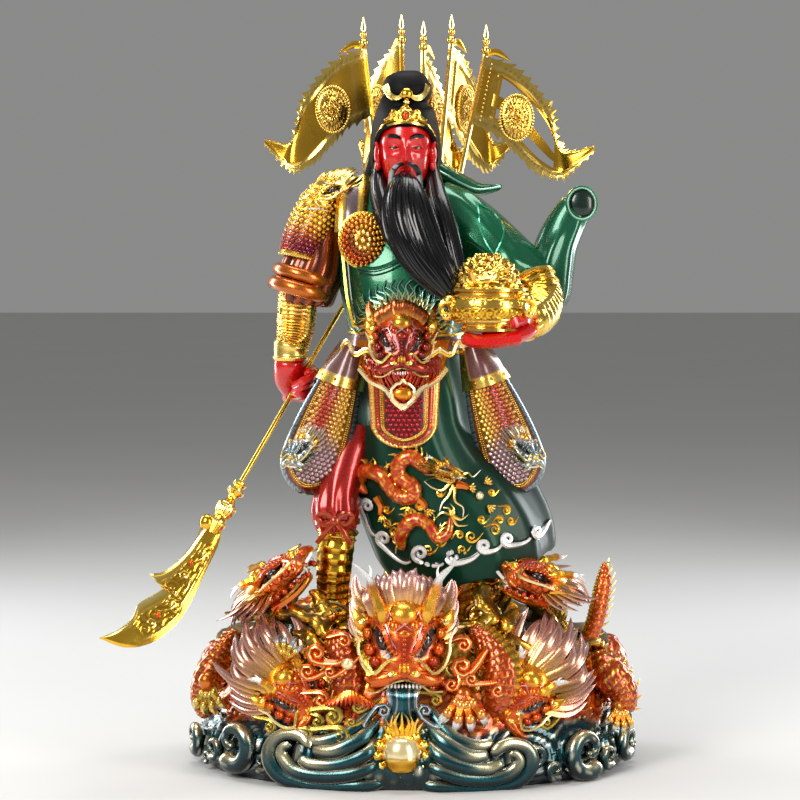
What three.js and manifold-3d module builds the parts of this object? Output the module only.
// A painted and gilded cast statue of a standing warrior saint, robed and half armoured. One hand holds a
// crescent-bladed glaive point down, the other palm a treasure bowl, and five pennants stand behind the head.
// Under it is an oval plinth of coiling dragons above breaking waves, with a gilt pearl set in its front.
// Millimetres, +Z up, the figure faces -Y, and the origin is the middle of the plinth's flat underside.

import * as THREE from "three";
import { mergeVertices } from "three/addons/utils/BufferGeometryUtils.js";
import Module from "manifold-3d";

const wasm = await Module();
wasm.setup();

// Driving sizes.
const FIGURE_HEIGHT = 433; // soles to the top of the hair bun
const PLINTH_HALF_WIDTH = 177;
const PLINTH_HALF_DEPTH = 130;
const STANDING_HEIGHT = 118; // underside of the plinth to the ground between the dragons, under the boots
const FIT_GAP = 0.4; // clearance round every piece that is set into another
const SHAFT_RADIUS = 1.9; // the glaive's shaft
const BLADE_THICKNESS = 4.2;
const BLADE_LENGTH = 121; // collar to point
const BOWL_RADIUS = 30;
const BOWL_HEIGHT = 60; // foot to the top of the heaped treasure
const POLE_RADIUS = 1.8; // the pennants' poles
const SOCKET_DEPTH = 16;
const PENNANT_HOIST = 54; // the pennant's height along its pole
const PENNANT_FLY = 80; // the pennant's reach away from its pole
const PENNANT_THICKNESS = 2.2;
const PEARL_RADIUS = 16;

// The figure is drawn 433 high on ground 118 up, and the plinth 177 by 130 by 118. Both scale to the sizes.
const DRAWN_FIGURE = 433;
const DRAWN_GROUND = 118;
const DRAWN_WIDTH = 177;
const DRAWN_DEPTH = 130;
const FIGURE_SCALE = FIGURE_HEIGHT / DRAWN_FIGURE;

const onFigure = (x, y, z) =>
  new THREE.Vector3(x * FIGURE_SCALE, y * FIGURE_SCALE, STANDING_HEIGHT + (z - DRAWN_GROUND) * FIGURE_SCALE);
const onPlinth = (x, y, z) =>
  new THREE.Vector3(
    (x * PLINTH_HALF_WIDTH) / DRAWN_WIDTH,
    (y * PLINTH_HALF_DEPTH) / DRAWN_DEPTH,
    (z * STANDING_HEIGHT) / DRAWN_GROUND,
  );

const FRONT = new THREE.Vector3(0, -1, 0);
const BACK = new THREE.Vector3(0, 1, 0);
const UP = new THREE.Vector3(0, 0, 1);

const mix = THREE.MathUtils.lerp;
const clamp = THREE.MathUtils.clamp;

// Moves each vertex of a closed three.js geometry by a function of its own position.
function reshape(geometry, move) {
  const source = geometry.index ? geometry.toNonIndexed() : geometry;
  const position = source.getAttribute("position");
  const moved = new Float32Array(position.count * 3);
  const round = (value) => Math.round(value * 1e6) / 1e6;
  for (let i = 0; i < position.count; i += 1) {
    move(round(position.getX(i)), round(position.getY(i)), round(position.getZ(i))).toArray(moved, 3 * i);
  }
  return new THREE.BufferGeometry().setAttribute("position", new THREE.BufferAttribute(moved, 3));
}

// The value of a list of rows part of the way along, column by column, smoothed between rows.
function between(rows, t) {
  const at = clamp(t, 0, 1) * (rows.length - 1);
  const i = Math.min(Math.floor(at), rows.length - 2);
  const f = at - i;
  const tangent = (k, c) => (rows[Math.min(k + 1, rows.length - 1)][c] - rows[Math.max(k - 1, 0)][c]) / 2;
  return rows[i].map((a, c) => {
    const b = rows[i + 1][c];
    const ta = tangent(i, c);
    const tb = tangent(i + 1, c);
    return a + f * (ta + f * (3 * (b - a) - 2 * ta - tb + f * (ta + tb - 2 * (b - a))));
  });
}

// A closed limb along a smooth line. Each row is x, y, z, half width, and half depth in front and behind.
// Option facing is the way that counts as front, grow thickens it all over, and ripple(angle, t) adds relief.
function limb(rows, { on = onFigure, sides, steps, facing = FRONT, grow = 0, ripple } = {}) {
  const unit = on(1, 0, 0).sub(on(0, 0, 0)).length();
  const front = on(...facing.toArray()).sub(on(0, 0, 0)).normalize();
  const full = rows.map((row) => [...on(row[0], row[1], row[2]).toArray(), row[3], row[4], row[5] ?? row[4]]);
  const spot = (t) => new THREE.Vector3(...between(full, t).slice(0, 3));
  return reshape(new THREE.CylinderGeometry(1, 1, 1, sides, steps), (x, y, z) => {
    const t = 0.5 - y;
    const angle = Math.atan2(z, x);
    const reach = Math.hypot(x, z);
    const [, , , across, ahead, behind] = between(full, t);
    const along = spot(Math.min(t + 0.01, 1)).sub(spot(Math.max(t - 0.01, 0))).normalize();
    const side = new THREE.Vector3().crossVectors(front, along).normalize();
    const outward = new THREE.Vector3().crossVectors(along, side);
    const swell = ripple ? 1 + ripple(angle, t) : 1;
    const depth = Math.sin(angle) > 0 ? ahead : behind;
    const end = t < 1e-6 ? -grow : t > 1 - 1e-6 ? grow : 0;
    return spot(t)
      .addScaledVector(side, reach * Math.cos(angle) * (across * unit * swell + grow))
      .addScaledVector(outward, reach * Math.sin(angle) * (depth * unit * swell + grow))
      .addScaledVector(along, end);
  });
}

// A closed ellipsoid.
function ball([x, y, z], [rx, ry, rz], { on = onFigure, around, rings }) {
  const sphere = new THREE.SphereGeometry(1, around, rings);
  return reshape(sphere, (a, b, c) => on(x + a * rx, y + c * ry, z + b * rz));
}

// A closed panel: surface(u, v) gives its face, and it is thickened away from that face.
function panel(surface, thickness, across, down) {
  return reshape(new THREE.BoxGeometry(1, 1, 1, across, down, 1), (x, y, z) => {
    const u = x + 0.5;
    const v = 0.5 - y;
    const face = surface(u, v);
    if (z > 0) return face;
    const step = 0.01;
    const right = surface(Math.min(u + step, 1), v).sub(surface(Math.max(u - step, 0), v));
    const fall = surface(u, Math.min(v + step, 1)).sub(surface(u, Math.max(v - step, 0)));
    return face.addScaledVector(right.cross(fall).normalize(), thickness);
  });
}

// A closed turned form about a vertical axis, from radius and height pairs that start and end on the axis.
function turned(profile, [x, y, z], sides) {
  const points = profile.map(([r, h]) => new THREE.Vector2(r, h));
  return new THREE.LatheGeometry(points, sides).rotateX(Math.PI / 2).translate(x, y, z);
}

// The solid of a closed geometry. A form drawn mirrored comes out inside out, and its faces are turned.
function solidOf(geometry) {
  const bare = geometry.index ? geometry.toNonIndexed() : geometry.clone();
  bare.deleteAttribute("normal");
  bare.deleteAttribute("uv");
  const merged = mergeVertices(bare, 1e-3);
  const corners = merged.index.array;
  const kept = [];
  for (let i = 0; i < corners.length; i += 3) {
    const [a, b, c] = corners.slice(i, i + 3);
    if (a !== b && b !== c && c !== a) kept.push(a, b, c);
  }
  const build = (triVerts) =>
    new wasm.Manifold(
      new wasm.Mesh({ numProp: 3, vertProperties: merged.attributes.position.array, triVerts }),
    );
  const made = build(Uint32Array.from(kept));
  if (made.volume() >= 0) return made;
  const turnedRound = [];
  for (let i = 0; i < kept.length; i += 3) turnedRound.push(kept[i], kept[i + 2], kept[i + 1]);
  return build(Uint32Array.from(turnedRound));
}

const join = (geometries) => geometries.map(solidOf).reduce((all, one) => all.add(one));

// A casting has no sealed pockets, and the chips that a cut leaves loose fall away.
function wholeCasting(solid) {
  const chip = solid.volume() / 1000;
  return solid
    .decompose()
    .filter((body) => body.volume() > chip)
    .reduce((all, one) => all.add(one));
}

function meshOf(solid, name, [color, roughness, metalness]) {
  const made = wholeCasting(solid).getMesh();
  const geometry = new THREE.BufferGeometry();
  geometry.setAttribute("position", new THREE.BufferAttribute(made.vertProperties, 3));
  geometry.setIndex(new THREE.BufferAttribute(made.triVerts, 1));
  const mesh = new THREE.Mesh(geometry, new THREE.MeshStandardMaterial({ color, roughness, metalness }));
  mesh.name = name;
  return mesh;
}

// The paints: colour, roughness, metalness.
const GREEN_LACQUER = [0x0b5a3a, 0.25, 0.6];
const DRAGON_LACQUER = [0xc8641a, 0.28, 0.7];
const GILT = [0xe0ae3c, 0.2, 1.0];

// The glaive's line: it runs through the fist, comes forward at the blade and passes behind the back.
const FIST = [-93, -14, 303];
const SHAFT_LEAN = new THREE.Vector3(38.5, 43, 67).normalize(); // from the fist towards the butt
const BLADE_BELOW_FIST = 96; // fist to the collar's upper end
const BUTT_ABOVE_FIST = 176;
const COLLAR_LENGTH = 46;

// The bowl rests on the open palm, and the pennants' poles stand in a rack between the shoulder blades.
const BOWL_FOOT = [57, -78, 350];
const RACK = { y: 52, z: 430, halfWidth: 36, halfDepth: 9, halfHeight: 15 };
const POLE_BOTTOM = RACK.z + RACK.halfHeight - SOCKET_DEPTH;
// Each pennant: where its pole leaves the rack, where its cloth's top corner is, and the way its cloth flies.
const PENNANTS = [
  { name: "pennant_far_left", foot: [-25, 52], head: [-41, 50, 574], turn: 184 },
  { name: "pennant_left", foot: [-7, 54], head: [-10, 58, 577], turn: 118 },
  { name: "pennant_centre", foot: [8, 56], head: [8, 64, 572], turn: 62 },
  { name: "pennant_right", foot: [17, 54], head: [31, 58, 577], turn: 52 },
  { name: "pennant_far_right", foot: [29, 52], head: [59, 50, 568], turn: -4 },
];

function torso() {
  return limb(
    [
      [-4, 2, 300, 50, 40, 36],
      [-5, 0, 330, 44, 46, 34],
      [-7, -2, 360, 46, 57, 33],
      [-9, -3, 390, 50, 56, 34],
      [-9, -2, 420, 54, 46, 38],
      [-9, 0, 446, 50, 34, 38],
      [-8, 0, 462, 33, 25, 30],
      [-7, -2, 478, 15, 16, 18],
    ],
    { sides: 8, steps: 4 },
  );
}

function head() {
  return [
    ball([-7, -22, 489], [20.5, 26, 31], { around: 8, rings: 6 }),
    ball([-6, -5, 500], [27.5, 30, 39], { around: 8, rings: 6 }), // cloth hood
    limb([[-6, 4, 505, 25, 22], [-7, 12, 480, 28, 18], [-8, 18, 455, 34, 14]],
      { sides: 6, steps: 2 }), // neck cloth
    ball([-5, -13, 536], [19.5, 18, 15.5], { around: 8, rings: 5 }), // bun
    ball([-6, -22, 519], [23, 20, 7], { around: 8, rings: 3 }), // crown band
    limb([[-6, -36, 512, 13, 7], [-6, -34, 520, 9, 6], [-5, -31, 530, 3, 4]],
      { sides: 4, steps: 2 }), // tiara
    limb([[-7, -44, 498, 3.4, 5], [-7, -47, 481, 5.2, 6]], { sides: 4, steps: 1 }), // nose
  ];
}

function beard() {
  const locks = [
    [[-8, -44, 474, 15, 9], [-8, -56, 455, 20, 12], [-4, -64, 430, 19, 12], [6, -70, 408, 18, 12],
      [20, -76, 390, 15, 9], [32, -78, 372, 7, 5]],
    [[-27, -38, 478, 5, 6], [-31, -46, 455, 7, 8], [-25, -56, 430, 9, 9], [-10, -66, 405, 9, 8],
      [12, -72, 390, 7, 6]],
    [[13, -38, 478, 5, 6], [17, -46, 455, 7, 8], [12, -58, 432, 9, 9], [22, -66, 412, 9, 8],
      [35, -74, 388, 6, 6]],
  ];
  return locks.map((rows, i) => limb(rows, { sides: i === 0 ? 7 : 4, steps: 4 }));
}

function armouredArm() {
  const lobes = (angle) => 0.07 * Math.cos(5 * angle);
  return [
    ball([-62, -2, 446], [22, 27, 16], { around: 7, rings: 4 }), // shoulder guard
    limb([[-64, -6, 453, 17, 22], [-82, -10, 430, 15, 23], [-88, -12, 405, 15, 21]], { sides: 7, steps: 2 }),
    limb([[-70, -4, 430, 18, 22], [-80, -6, 405, 24, 27], [-85, -8, 385, 26, 27], [-86, -8, 366, 20, 22]],
      { sides: 10, steps: 4, ripple: lobes }), // gathered sleeve
    limb([[-91, -8, 392, 19, 20], [-93, -9, 376, 21, 21], [-93, -9, 370, 18, 19]],
      { sides: 7, steps: 2 }), // cuff
    limb([[-92, -9, 380, 15, 16], [-94, -10, 352, 14.5, 15], [-97, -12, 330, 12, 13],
      [-97, -12, 322, 15, 15]], { sides: 6, steps: 3 }), // forearm guard
    limb([[-97, -13, 326, 13, 13], [-98, -16, 312, 13, 14], [-95, -18, 298, 11, 13], [-90, -18, 288, 7, 9]],
      { sides: 6, steps: 3 }), // fist
    limb([[-88, -25, 308, 5, 5], [-82, -22, 300, 5, 5], [-80, -14, 292, 4.5, 4.5]],
      { sides: 4, steps: 2 }), // thumb
  ];
}

function breastPlate() {
  return [
    ball([-40, -42, 416], [19, 15, 21], { around: 8, rings: 4 }),
    limb([[-36, -16, 458, 9, 8], [-40, -40, 444, 9, 7], [-42, -46, 430, 8, 5]], { sides: 4, steps: 2 }),
  ];
}

function robedArm() {
  return [
    limb([[22, -2, 440, 23, 25], [44, -5, 430, 22, 26], [64, -9, 412, 22, 27], [84, -12, 392, 23, 26],
      [98, -18, 374, 19, 22]], { sides: 8, steps: 4 }), // upper sleeve
    limb([[100, -14, 392, 20, 20], [108, -26, 372, 18, 20], [100, -48, 362, 15, 16], [86, -70, 355, 13, 13]],
      { sides: 7, steps: 3, facing: UP }), // forearm guard
    limb([[96, -58, 354, 10, 9], [80, -76, 347, 11, 8], [60, -86, 343, 12, 7], [44, -98, 342, 11, 7]],
      { sides: 6, steps: 3, facing: UP }), // hand under the bowl
    limb([[104, 0, 355, 6, 8], [107, 2, 374, 16, 16], [110, 4, 394, 17, 20], [116, 6, 416, 16, 18],
      [127, 6, 437, 14, 11], [136, 6, 452, 9, 6]], { sides: 7, steps: 6 }), // cuff streaming out behind
    limb([[18, 18, 474, 12, 8], [34, 18, 466, 15, 7], [54, 14, 459, 9, 5], [68, 10, 460, 2, 1.5]],
      { sides: 5, steps: 3, facing: UP }), // cape's lifted corner
  ];
}

// The longer robe that shows between the boots under the skirt's hem.
function underRobe(grow = 0) {
  return limb([[44, -4, 182, 56, 56, 48], [30, -8, 150, 52, 46, 44], [18, -10, DRAWN_GROUND, 48, 38, 38]],
    { sides: 12, steps: 2, grow });
}

function skirt(grow = 0) {
  const folds = (angle, t) => 0.05 * t * Math.cos(10 * angle) + 0.02 * t * Math.sin(5 * angle);
  return limb(
    [
      [-4, -2, 330, 44, 46, 36],
      [-1, -4, 296, 50, 52, 42],
      [2, -6, 262, 53, 56, 48],
      [14, -6, 227, 62, 60, 54],
      [30, -6, 200, 69, 66, 58],
      [44, -6, 178, 67, 70, 60],
      [48, -4, 164, 62, 68, 58],
    ],
    { sides: 20, steps: 5, grow, ripple: folds },
  );
}

// Skirt guards: long scaled plates that splay out over the hips, round at the bottom.
function hipGuard(side) {
  const top = [-2 + 50 * side, -40, 336];
  const foot = [-1 + 87 * side, -34, 219];
  const halfWidth = (v) => 16 + 10 * Math.sin(Math.min(v, 0.8) * 1.9);
  return panel((u, v) => {
    const tip = Math.sqrt(Math.max(1 - Math.max((v - 0.78) / 0.225, 0) ** 2, 0.02));
    const across = (2 * u - 1) * halfWidth(v) * tip;
    const bow = 14 * (1 - (2 * u - 1) ** 2) * tip + 10 * Math.sin(Math.PI * v);
    return onFigure(
      mix(top[0], foot[0], v) + across * 0.95,
      mix(top[1], foot[1], v) - bow + Math.abs(across) * 0.2,
      mix(top[2], foot[2], v) + across * side * 0.3,
    );
  }, 16 * FIGURE_SCALE, 4, 5);
}

function hipGuards() {
  return [
    hipGuard(-1),
    hipGuard(1),
    ball([-90, -48, 246], [12, 10, 14], { around: 6, rings: 3 }), // beast boss, one on each guard
    ball([93, -48, 246], [12, 10, 14], { around: 6, rings: 3 }),
  ];
}

function beltAndApron() {
  const flames = panel((u, v) => {
    const angle = mix(-1.35, 1.35, u);
    const tip = Math.round(u * 14) % 2 === 1 ? 41 : 27;
    const reach = mix(tip, 10, v);
    return onFigure(-8 + 1.05 * reach * Math.sin(angle), -58 - 6 * v, 348 + 0.92 * reach * Math.cos(angle));
  }, 12 * FIGURE_SCALE, 14, 1);
  const apron = panel((u, v) => {
    const half = mix(27, 24, v) * Math.sqrt(Math.max(1 - Math.max((v - 0.7) / 0.31, 0) ** 2, 0.03));
    const across = (2 * u - 1) * half;
    return onFigure(-8 + across, -66 + 0.012 * across * across, mix(334, 258, v));
  }, 14 * FIGURE_SCALE, 4, 4);
  return [
    ball([-8, -54, 345], [23, 19, 17], { around: 8, rings: 4 }), // dragon face
    limb([[-8, -60, 326, 22, 8], [-8, -66, 318, 16, 9], [-8, -69, 306, 8, 5]], { sides: 5, steps: 2 }),
    flames,
    apron,
  ];
}

function boots(grow = 0) {
  return [
    [[-46, -22, 268, 19, 21], [-60, -36, 218, 16, 18], [-61, -40, 200, 17, 19], [-60, -40, 186, 13, 14],
      [-63, -42, 160, 13, 14], [-64, -40, 134, 11, 13], [-64, -38, DRAWN_GROUND, 12, 14]],
    [[53, -38, 174, 14, 15], [54, -42, 150, 12, 13], [55, -42, 132, 11, 13], [55, -40, DRAWN_GROUND, 12, 14]],
  ].map((rows) => limb(rows, { sides: 6, steps: rows.length - 1, grow }));
}

function toes(grow = 0) {
  return [[-66, -70], [57, -66]].map(([x, y]) =>
    limb([[x + 2, y + 34, 127, 11, 10, 9], [x, y + 12, 127, 12, 9, 9], [x - 1, y - 2, 125.5, 9, 5, 7.5]],
      { sides: 6, steps: 2, facing: UP, grow }));
}

function trouserBow() {
  return [
    limb([[-60, -42, 214, 19, 20], [-60, -42, 204, 20, 21], [-61, -42, 198, 16, 17]], { sides: 6, steps: 2 }),
    limb([[-66, -54, 208, 4, 4], [-79, -50, 184, 8, 3]], { sides: 4, steps: 1 }),
    limb([[-58, -56, 208, 5, 4], [-47, -55, 182, 9, 3]], { sides: 4, steps: 1 }),
  ];
}

function pennantRack() {
  const { y, z, halfWidth, halfDepth, halfHeight } = RACK;
  return [
    limb([[2 - halfWidth, y, z, halfHeight, halfDepth], [2, y + 2, z, halfHeight, halfDepth + 2],
      [2 + halfWidth, y, z, halfHeight, halfDepth]], { sides: 6, steps: 2, facing: BACK }),
    limb([[-6, 26, 420, 14, 12], [-2, 50, 428, 14, 12]], { sides: 6, steps: 1, facing: UP }), // its arm
  ];
}

// A straight round bar from one point to another, in real millimetres.
function bar(from, to, radius, sides) {
  const middle = from.clone().add(to).multiplyScalar(0.5);
  const direction = to.clone().sub(from).normalize();
  const turn = new THREE.Quaternion().setFromUnitVectors(BACK, direction);
  return new THREE.CylinderGeometry(radius, radius, from.distanceTo(to), sides)
    .applyQuaternion(turn)
    .translate(...middle.toArray());
}

// Everything below a height, for cutting a level underside.
function groundUpTo(height) {
  const wide = 10 * PLINTH_HALF_WIDTH;
  return new THREE.BoxGeometry(wide, wide, wide).translate(0, 0, height - wide / 2);
}

const fistPoint = onFigure(...FIST);
const alongShaft = (distance) => fistPoint.clone().addScaledVector(SHAFT_LEAN, distance * FIGURE_SCALE);
const bowlFoot = onFigure(...BOWL_FOOT);

function shaft(grow = 0) {
  const tip = alongShaft(-BLADE_BELOW_FIST - COLLAR_LENGTH / 2);
  return bar(tip, alongShaft(BUTT_ABOVE_FIST), SHAFT_RADIUS + grow, 6);
}

function bowlBody(grow = 0) {
  const r = BOWL_RADIUS / 30;
  const h = BOWL_HEIGHT / 60;
  const profile = [
    [0, 0], [18, 0], [15, 4], [27, 10], [30, 18], [27, 27], [30, 30], [26, 33], [22, 44], [12, 55], [0, 60],
  ].map(([radius, height], i, all) => {
    const drop = i === 0 || i === 1 ? -grow : i === all.length - 1 ? grow : 0;
    return [radius > 0 ? radius * r + grow : 0, height * h + drop];
  });
  return turned(profile, bowlFoot.toArray(), 12);
}

function bowl() {
  const r = BOWL_RADIUS / 30;
  const h = BOWL_HEIGHT / 60;
  const inBowl = (x, y, z) => new THREE.Vector3(x * r, y * r, z * h).add(bowlFoot);
  const at = (spot, size) => ball(spot, size, { on: inBowl, around: 6, rings: 3 });
  return join([
    bowlBody(),
    at([-33, -8, 16], [6, 6, 9]), // ring handles
    at([29, -16, 20], [5, 5, 7]),
    at([0, -18, 42], [11, 7, 6]), // ingots on the heap
    at([-15, -9, 40], [7, 7, 6]),
    at([15, -9, 41], [7, 7, 6]),
    at([2, 2, 57], [8, 7, 6]),
  ]);
}

function figure() {
  const body = join([
    torso(),
    ...head(),
    ...beard(),
    ...armouredArm(),
    ...breastPlate(),
    ...robedArm(),
    skirt(),
    underRobe(),
    ...hipGuards(),
    ...beltAndApron(),
    ...boots(),
    ...toes(),
    ...trouserBow(),
    ...pennantRack(),
  ]);
  const sockets = PENNANTS.map((pennant) => pole(pennant, FIT_GAP));
  return [shaft(FIT_GAP), bowlBody(FIT_GAP), groundUpTo(STANDING_HEIGHT + FIT_GAP), ...sockets]
    .map(solidOf)
    .reduce((all, cut) => all.subtract(cut), body);
}

// One pennant: a pole with a ball and spear finial, and a flame-edged gilt cloth hung from it.
function pole({ foot, head }, grow = 0) {
  const from = onFigure(foot[0], foot[1], POLE_BOTTOM);
  const to = onFigure(...head);
  const down = from.clone().sub(to).normalize();
  return bar(to, from.addScaledVector(down, grow), POLE_RADIUS + grow, 6);
}

// Columns: the upper edge's reach from the pole and its drop, then the lower edge's.
const PENNANT_EDGES = [
  [0, 0, 0, 54],
  [20, 8, 19, 63],
  [40, 26, 32, 77],
  [53, 45, 46, 92],
  [57, 67, 60, 98],
  [61, 77, 68, 91],
  [80, 73, 80, 77],
];

function pennant(spec) {
  const { foot, head, turn } = spec;
  const top = onFigure(...head);
  const base = onFigure(foot[0], foot[1], POLE_BOTTOM);
  const lean = base.clone().sub(top);
  lean.divideScalar(-lean.z);
  const angle = THREE.MathUtils.degToRad(turn);
  const out = new THREE.Vector3(Math.cos(angle), Math.sin(angle), 0);
  const sway = new THREE.Vector3(-Math.sin(angle), Math.cos(angle), 0);
  const across = 8;
  const face = (u, v) => {
    const [topOut, topDrop, lowOut, lowDrop] = between(PENNANT_EDGES, u);
    const edge = v < 0.01 ? -1 : v > 0.99 ? 1 : 0;
    const tooth = edge !== 0 && u > 0.04 && Math.round(u * across) % 2 === 1 ? 3.2 : 0;
    const reach = (mix(topOut, lowOut, v) * PENNANT_FLY) / 80;
    const drop = ((mix(topDrop, lowDrop, v) + edge * tooth) * PENNANT_HOIST) / 54;
    return top
      .clone()
      .addScaledVector(out, reach + (edge < 0 ? tooth : 0))
      .addScaledVector(lean, drop * (1 - u))
      .addScaledVector(UP, -drop * u)
      .addScaledVector(sway, 5 * Math.sin(4 * u) - PENNANT_THICKNESS / 2);
  };
  const boss = face(0.42, 0.5).addScaledVector(sway, PENNANT_THICKNESS / 2);
  const medallion = ball([0, 0, 0], [11, 3, 14], {
    on: (x, y, z) => boss.clone().addScaledVector(out, x).addScaledVector(sway, y).addScaledVector(UP, z),
    around: 6,
    rings: 3,
  });
  const finial = [[0, -3], [4, 0], [2, 4], [3.6, 8], [1.6, 12], [0, 25]];
  return join([
    pole(spec),
    panel(face, PENNANT_THICKNESS, across, 1),
    medallion,
    turned(finial, top.toArray(), 5),
  ]);
}

// The glaive: blade outline by its way along the blade and out from the shaft's line, for a blade 122 long.
function bladeOutline() {
  const k = BLADE_LENGTH / 122;
  const at = (points) => points.map(([s, b]) => new THREE.Vector2(s * k, b * k));
  const shape = new THREE.Shape().moveTo(0, -7 * k);
  shape.lineTo(2 * k, 8 * k);
  shape.splineThru(at([[24, 9], [41, 13], [58, 25]])); // back edge, up to the hook
  shape.splineThru(at([[59, 17], [53, 9]])); // hook
  shape.splineThru(at([[63, 11], [72, 15.5], [83, 21], [95, 20], [108, 24], [122, 33.5]])); // crescent
  const belly = [[121, 21], [114, 6], [100, -5], [81, -11.5], [62, -12.6], [37, -11], [19, -10], [0, -7]];
  shape.splineThru(at(belly));
  return shape;
}

function glaive() {
  const collarTop = alongShaft(-BLADE_BELOW_FIST);
  const toBlade = SHAFT_LEAN.clone().negate();
  const outward = new THREE.Vector3(-SHAFT_LEAN.z, 0, SHAFT_LEAN.x).normalize();
  const across = new THREE.Vector3().crossVectors(toBlade, outward).normalize();
  const frame = (origin) => new THREE.Matrix4().makeBasis(toBlade, outward, across).setPosition(origin);
  const bladeStart = collarTop.clone().addScaledVector(toBlade, COLLAR_LENGTH * FIGURE_SCALE);
  const blade = new THREE.ExtrudeGeometry(bladeOutline(), {
    depth: BLADE_THICKNESS,
    curveSegments: 1,
    bevelEnabled: false,
  })
    .translate(0, 0, -BLADE_THICKNESS / 2)
    .applyMatrix4(frame(bladeStart));
  const profile = [
    [0, -2], [4.5, 1], [3, 5], [6, 11], [3.4, 17], [7, 28], [5, 35], [6, 42], [0, COLLAR_LENGTH + 4],
  ];
  const collar = turned(profile, [0, 0, 0], 6)
    .applyMatrix4(new THREE.Matrix4().makeBasis(across, outward, toBlade))
    .translate(...collarTop.toArray());
  const crest = ball([0, 0, 0], [9, 11, 5], {
    on: (x, y, z) => new THREE.Vector3(x - 6, y, z).applyMatrix4(frame(bladeStart)),
    around: 6,
    rings: 4,
  });
  const butt = ball([0, 0, 0], [4, 4, 4], {
    on: (x, y, z) => alongShaft(BUTT_ABOVE_FIST).add(new THREE.Vector3(x, y, z)),
    around: 6,
    rings: 4,
  });
  return join([shaft(), blade, collar, crest, butt]);
}

// A place on the plinth seen from a turned and tipped frame: +X is the snout's way, +Z the top of the head.
function turnedFrame(at, size, turn, tip) {
  const radians = THREE.MathUtils.degToRad;
  const rotation = new THREE.Euler(0, radians(tip), radians(turn), "ZYX");
  return (x, y, z) => {
    const moved = new THREE.Vector3(x, y, z).multiplyScalar(size).applyEuler(rotation);
    return onPlinth(at[0] + moved.x, at[1] + moved.y, at[2] + moved.z);
  };
}

// A dragon's head, drawn one unit long in its own frame: skull, jaw and a swept mane, with horns and brows
// where they are given.
function dragonHead({ at, size, turn, tip, mane, lift, horns = 0, brows = 0 }) {
  const on = turnedFrame(at, size, turn, tip);
  const part = (rows, options) => limb(rows, { on, facing: UP, ...options });
  const brow = (side) => ball([0.08, 0.22 * side, 0.24], [brows, 0.1, 0.1], { on, around: 5, rings: 3 });
  const horn = (side) =>
    part([[-0.05, 0.16 * side, 0.26, 0.07, 0.07], [-0.6 * horns, 0.34 * side, 0.42, 0.06, 0.06],
      [-horns, 0.5 * side, 0.42, 0.03, 0.03]], { sides: 4, steps: 2 });
  return [
    part([[-0.45, 0, 0.05, 0.2, 0.22], [-0.2, 0, 0.1, 0.33, 0.26], [0.05, 0, 0.08, 0.34, 0.24],
      [0.25, 0, 0.02, 0.22, 0.17], [0.42, 0, 0, 0.24, 0.15], [0.54, 0, -0.03, 0.14, 0.09]],
      { sides: 6, steps: 4 }), // skull and upper jaw
    part([[-0.25, 0, -0.16, 0.22, 0.1], [0.1, 0, -0.26, 0.18, 0.08], [0.42, 0, -0.25, 0.1, 0.05]],
      { sides: 5, steps: 2 }), // lower jaw
    part([[-0.2, 0, 0.08, 0.34, 0.28], [-0.65 * mane, 0, 0.08 + lift / 3, 0.5, 0.2],
      [-mane, 0, lift, 0.42, 0.07]],
      { sides: 6, steps: 2, ripple: (angle, t) => 0.2 * t * Math.cos(3 * angle) }), // mane
    ...(brows > 0 ? [brow(-1), brow(1)] : []),
    ...(horns > 0 ? [horn(-1), horn(1)] : []),
  ];
}

function coil(points) {
  const rows = points.map(([x, y, z, thick]) => [x, y, z, thick, thick]);
  return limb(rows, { on: onPlinth, sides: 4, steps: rows.length - 1, facing: UP });
}

const DRAGONS = [
  { at: [-6, -94, 120], size: 78, turn: -90, tip: 60, mane: 0.74, lift: 0.26, horns: 0.65, brows: 0.13 },
  { at: [-113, -62, 148], size: 60, turn: -40, tip: 20, mane: 0.58, lift: -0.12, horns: 0.36 },
  { at: [100, -62, 148], size: 60, turn: 220, tip: 20, mane: 0.58, lift: -0.12, horns: 0.36 },
  { at: [-106, -86, 68], size: 60, turn: -50, tip: 34, mane: 0.9, lift: 0, horns: 0.55 },
  { at: [94, -86, 66], size: 60, turn: 228, tip: 36, mane: 0.9, lift: 0, horns: 0.55 },
  { at: [-74, 82, 84], size: 54, turn: 118, tip: 36, mane: 0.8, lift: 0 },
  { at: [78, 82, 84], size: 54, turn: 62, tip: 36, mane: 0.8, lift: 0 },
];

// The coiling bodies, each a few points along its line with its thickness.
const COILS = [
  [[-118, -60, 146, 18], [-130, -24, 128, 20], [-130, 12, 104, 20], [-150, -20, 82, 17], [-153, -64, 58, 15],
    [-132, -90, 44, 12]],
  [[106, -60, 146, 18], [124, -24, 128, 20], [126, 12, 104, 20], [148, -20, 82, 17], [152, -62, 58, 15],
    [130, -90, 44, 12]],
  [[-96, -68, 116, 12], [-74, -88, 106, 18], [-54, -100, 84, 22], [-46, -106, 56, 17]],
  [[92, -64, 116, 12], [68, -84, 108, 18], [46, -98, 86, 22], [38, -104, 54, 17]],
  [[-110, 70, 96, 12], [-60, 88, 108, 15], [0, 96, 96, 16], [50, 90, 74, 15], [100, 70, 60, 12]],
  [[-152, 30, 60, 13], [-110, 84, 54, 15], [-40, 112, 52, 15], [50, 110, 58, 14], [120, 74, 52, 14],
    [156, 20, 64, 12]],
];

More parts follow.
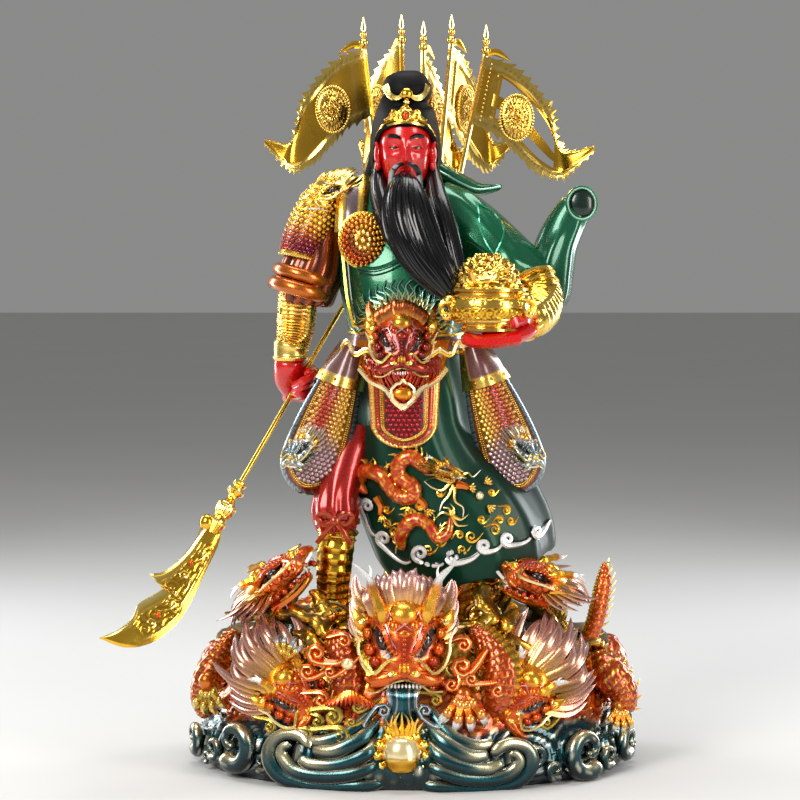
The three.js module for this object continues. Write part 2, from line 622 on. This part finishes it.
// A breaking wave: a tapering arm rolled up in an upright spiral that faces outwards by the given bearing.
function waveCurl({ at: [x, y, z], radius, bearing, side }) {
  const angle = THREE.MathUtils.degToRad(bearing);
  const out = new THREE.Vector3(Math.cos(angle), Math.sin(angle), 0);
  const along = new THREE.Vector3(-out.y * side, out.x * side, 0);
  const turns = 8;
  const rows = Array.from({ length: turns }, (_, i) => {
    const a = mix(-0.9 * Math.PI, 1.1 * Math.PI, i / (turns - 1));
    const r = radius * mix(1.5, 0.25, i / (turns - 1));
    const thick = radius * mix(0.75, 0.3, i / (turns - 1));
    return [
      x + along.x * r * Math.cos(a),
      y + along.y * r * Math.cos(a),
      z + r * Math.sin(a),
      thick * 0.8,
      thick,
    ];
  });
  return limb(rows, { on: onPlinth, sides: 4, steps: 4, facing: out });
}

const WAVES = [
  { at: [-142, -76, 24], radius: 13, bearing: -125, side: 1 },
  { at: [-96, -106, 26], radius: 14, bearing: -105, side: 1 },
  { at: [74, -110, 28], radius: 14, bearing: -75, side: -1 },
  { at: [122, -92, 26], radius: 15, bearing: -60, side: -1 },
  { at: [156, 34, 26], radius: 14, bearing: 15, side: 1 },
  { at: [-156, 34, 26], radius: 14, bearing: 165, side: -1 },
  { at: [0, 118, 26], radius: 14, bearing: 90, side: 1 },
];

// The pearl stands in a hollow of the foremost wave, with flames above it.
const PEARL_AT = [-10, -113, 28];

function pearl(grow = 0) {
  const centre = onPlinth(...PEARL_AT);
  const r = PEARL_RADIUS + grow;
  const inPearl = (x, y, z) => new THREE.Vector3(x, y, z).add(centre);
  return ball([0, 0, 0], [r, r, r], { on: inPearl, around: 8, rings: 5 });
}

function flamingPearl() {
  const k = PEARL_RADIUS / 16;
  const centre = onPlinth(...PEARL_AT);
  const on = (x, y, z) => new THREE.Vector3(x * k, y * k, z * k).add(centre);
  const flames = [-1, 0, 1].map((i) =>
    limb([[6 * i, -6, 10, 5, 4], [4 * i, -7, 29 - 5 * Math.abs(i), 1, 1]], { on, sides: 4, steps: 1 }));
  return join([pearl(), ...flames]);
}

function plinth() {
  const swell = (angle, t) => (1 - t) * (0.012 * Math.cos(9 * angle) + 0.008 * Math.sin(17 * angle));
  const core = limb(
    [[0, 0, 0, 166, 121], [0, 0, 13, 174, 127], [0, 0, 32, 169, 123], [0, 0, 56, 154, 110],
      [0, 0, 88, 140, 96], [0, 0, 118, 106, 80]],
    { on: onPlinth, sides: 20, steps: 5, ripple: swell },
  );
  const carved = join([
    core,
    ...DRAGONS.flatMap(dragonHead),
    ...COILS.map(coil),
    ...WAVES.map(waveCurl),
  ]);
  const [x, y, z] = PEARL_AT;
  const hollow = ball([x, y - 14, z + 6], [25, 17, 36], { on: onPlinth, around: 8, rings: 5 });
  const standing = [skirt(FIT_GAP), underRobe(FIT_GAP), ...boots(FIT_GAP), ...toes(FIT_GAP)];
  return [hollow, groundUpTo(0), pearl(FIT_GAP), ...standing]
    .map(solidOf)
    .reduce((all, cut) => all.subtract(cut), carved);
}

const statue = new THREE.Group();
statue.name = "statue";
statue.add(
  meshOf(plinth(), "dragon_plinth", DRAGON_LACQUER),
  meshOf(figure(), "figure", GREEN_LACQUER),
  meshOf(glaive(), "glaive", GILT),
  meshOf(bowl(), "treasure_bowl", GILT),
  ...PENNANTS.map((spec) => meshOf(pennant(spec), spec.name, GILT)),
  meshOf(flamingPearl(), "flaming_pearl", GILT),
);

export default statue;
